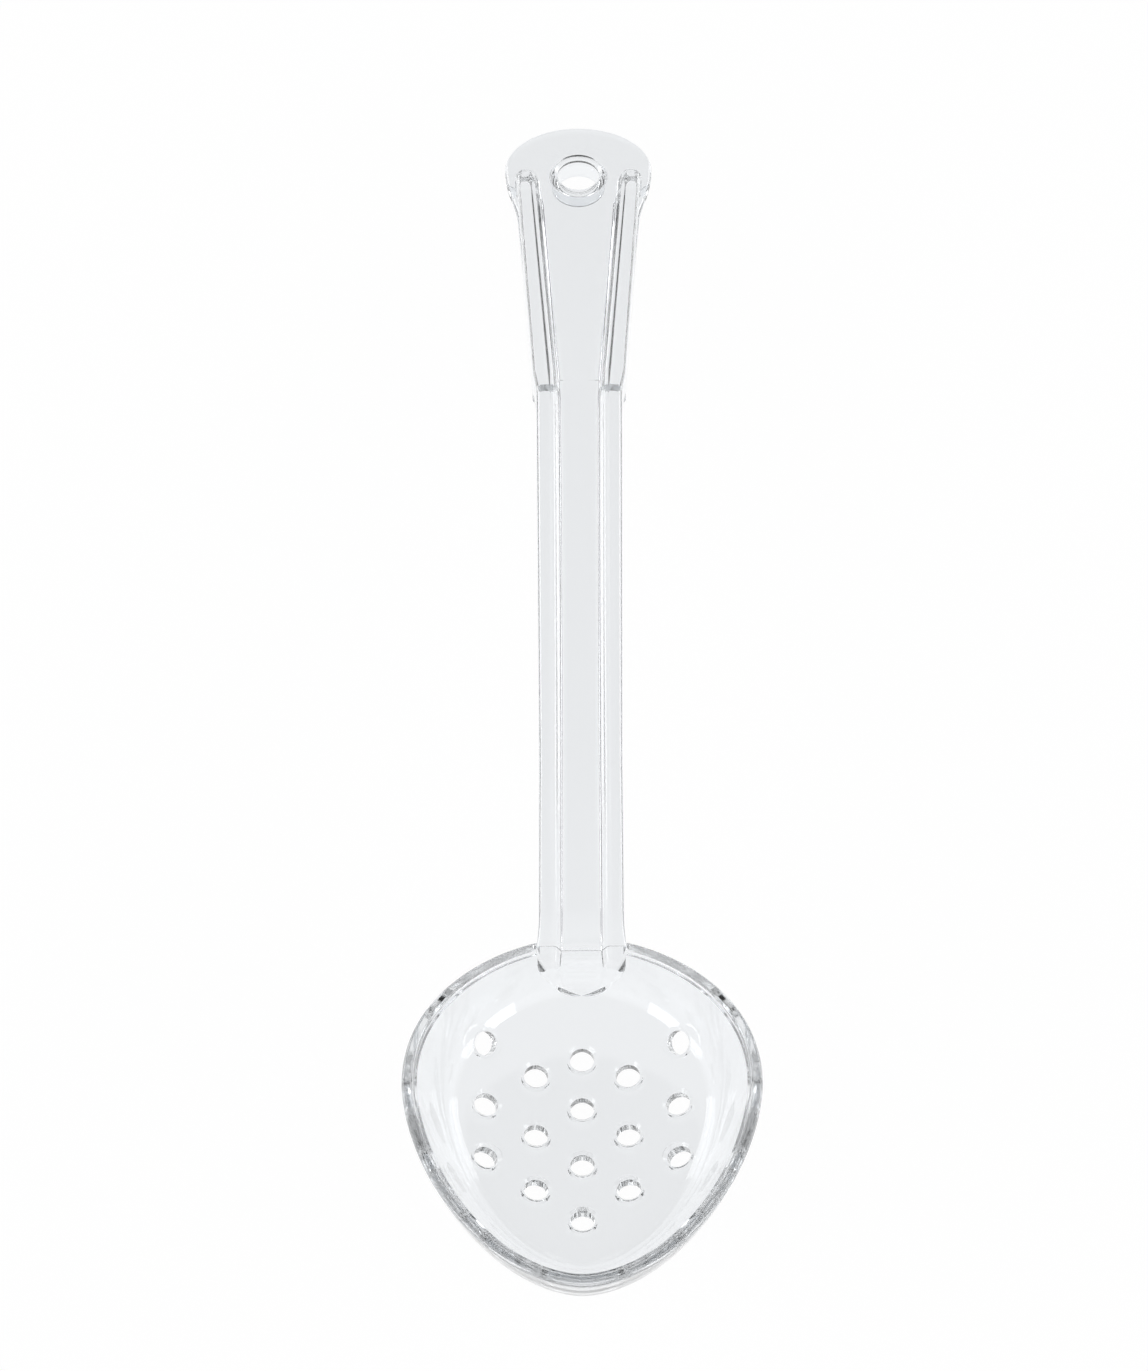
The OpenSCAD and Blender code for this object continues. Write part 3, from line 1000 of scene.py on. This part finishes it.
# Operators and their panel

class SPOON_OT_mould(bpy.types.Operator):
    """Mould the whole spoon in one go"""

    bl_idname = "spoon.mould"
    bl_label = "Mould the spoon"

    def execute(self, context):
        dish = Dish(context.scene.spoon_bowl)
        body = skin(MOULDING, bowl_rings(dish))
        drill(body, dish)
        combine(body, handle(context.scene.spoon_handle, dish), "UNION")
        body.data.materials.clear()
        body.data.materials.append(clear_polycarbonate(context.scene.spoon_finish))
        body.data.materials.append(inner_boundary())
        return {"FINISHED"}


class SPOON_OT_bowl(bpy.types.Operator):
    """Take the bowl with its rim and drain holes from the moulding"""

    bl_idname = "spoon.bowl"
    bl_label = "Bowl"

    def execute(self, context):
        piece = copy_of("bowl_dish", moulding())
        trim(piece, Vector((0, BOWL_HIGH.y + context.scene.spoon_bowl.wall, 0)), Vector((0, 1, 0)))
        combine(piece, neck_cutter(), "DIFFERENCE")
        finish_piece(piece, "bowl")
        return {"FINISHED"}


class SPOON_OT_neck(bpy.types.Operator):
    """Take the landing and the bend from the moulding"""

    bl_idname = "spoon.neck"
    bl_label = "Neck"

    def execute(self, context):
        piece = copy_of("neck_landing", moulding())
        trim(piece, *bend_plane())
        combine(piece, neck_cutter(), "INTERSECT")
        finish_piece(piece, "neck")
        return {"FINISHED"}


class SPOON_OT_stem(bpy.types.Operator):
    """Take the channelled stem from the moulding"""

    bl_idname = "spoon.stem"
    bl_label = "Stem"

    def execute(self, context):
        piece = copy_of("stem_bar", moulding())
        point, along = bend_plane()
        trim(piece, point, -along)
        trim(piece, *stop_plane(context.scene.spoon_handle))
        finish_piece(piece, "stem")
        return {"FINISHED"}


class SPOON_OT_grip(bpy.types.Operator):
    """Take the grip with its stop shoulders and rails from the moulding"""

    bl_idname = "spoon.grip"
    bl_label = "Grip"

    def execute(self, context):
        piece = copy_of("grip_plate", moulding())
        point, along = stop_plane(context.scene.spoon_handle)
        trim(piece, point, -along)
        combine(piece, eye_cutter(), "DIFFERENCE")
        finish_piece(piece, "grip")
        return {"FINISHED"}


class SPOON_OT_hanging_eye(bpy.types.Operator):
    """Take the boss round the hanging hole from the moulding"""

    bl_idname = "spoon.hanging_eye"
    bl_label = "Hanging eye"

    def execute(self, context):
        piece = copy_of("hanging_eye_boss", moulding())
        combine(piece, eye_cutter(), "INTERSECT")
        finish_piece(piece, "hanging_eye")
        return {"FINISHED"}


class SPOON_OT_break_mould(bpy.types.Operator):
    """Remove the whole moulding once its pieces are taken"""

    bl_idname = "spoon.break_mould"
    bl_label = "Remove the moulding"

    def execute(self, context):
        bpy.data.objects.remove(moulding())
        return {"FINISHED"}


class SPOON_OT_stage(bpy.types.Operator):
    """Lay a white floor, light it and set up the camera"""

    bl_idname = "spoon.stage"
    bl_label = "Set the stage"

    def execute(self, context):
        stage = context.scene.spoon_stage
        bpy.ops.object.select_all(action="DESELECT")
        bpy.ops.mesh.primitive_plane_add(size=FLOOR_WIDTH)
        floor = context.object
        floor.name = "floor"
        floor.data.materials.append(white_floor())
        context.scene.world = studio_world()
        add_lights()
        add_camera(stage)
        context.scene.view_settings.view_transform = "Standard"
        paths = context.scene.cycles
        paths.max_bounces = paths.glossy_bounces = paths.transmission_bounces = CLEAR_BOUNCES
        paths.transparent_max_bounces = CLEAR_BOUNCES
        return {"FINISHED"}


class SPOON_PT_panel(bpy.types.Panel):
    """The spoon's steps"""

    bl_label = "Serving spoon"
    bl_space_type = "VIEW_3D"
    bl_region_type = "UI"
    bl_category = "Spoon"

    def draw(self, context):
        for operator in OPERATORS:
            self.layout.operator(operator.bl_idname)


GROUPS = (
    ("spoon_bowl", SpoonBowl),
    ("spoon_handle", SpoonHandle),
    ("spoon_finish", SpoonFinish),
    ("spoon_stage", SpoonStage),
)
OPERATORS = (
    SPOON_OT_mould,
    SPOON_OT_bowl,
    SPOON_OT_neck,
    SPOON_OT_stem,
    SPOON_OT_grip,
    SPOON_OT_hanging_eye,
    SPOON_OT_break_mould,
    SPOON_OT_stage,
)


def register():
    """Registers the groups, the operators and the panel."""
    for name, group in GROUPS:
        bpy.utils.register_class(group)
        setattr(bpy.types.Scene, name, PointerProperty(type=group))
    for one in (*OPERATORS, SPOON_PT_panel):
        bpy.utils.register_class(one)


def unregister():
    """Takes back what register added."""
    for one in (SPOON_PT_panel, *reversed(OPERATORS)):
        bpy.utils.unregister_class(one)
    for name, group in reversed(GROUPS):
        delattr(bpy.types.Scene, name)
        bpy.utils.unregister_class(group)


def main():
    """Makes the spoon and its stage."""
    register()
    bpy.ops.spoon.mould()
    bpy.ops.spoon.bowl()
    bpy.ops.spoon.neck()
    bpy.ops.spoon.stem()
    bpy.ops.spoon.grip()
    bpy.ops.spoon.hanging_eye()
    bpy.ops.spoon.break_mould()
    bpy.ops.spoon.stage()


if __name__ == "__main__":
    main()
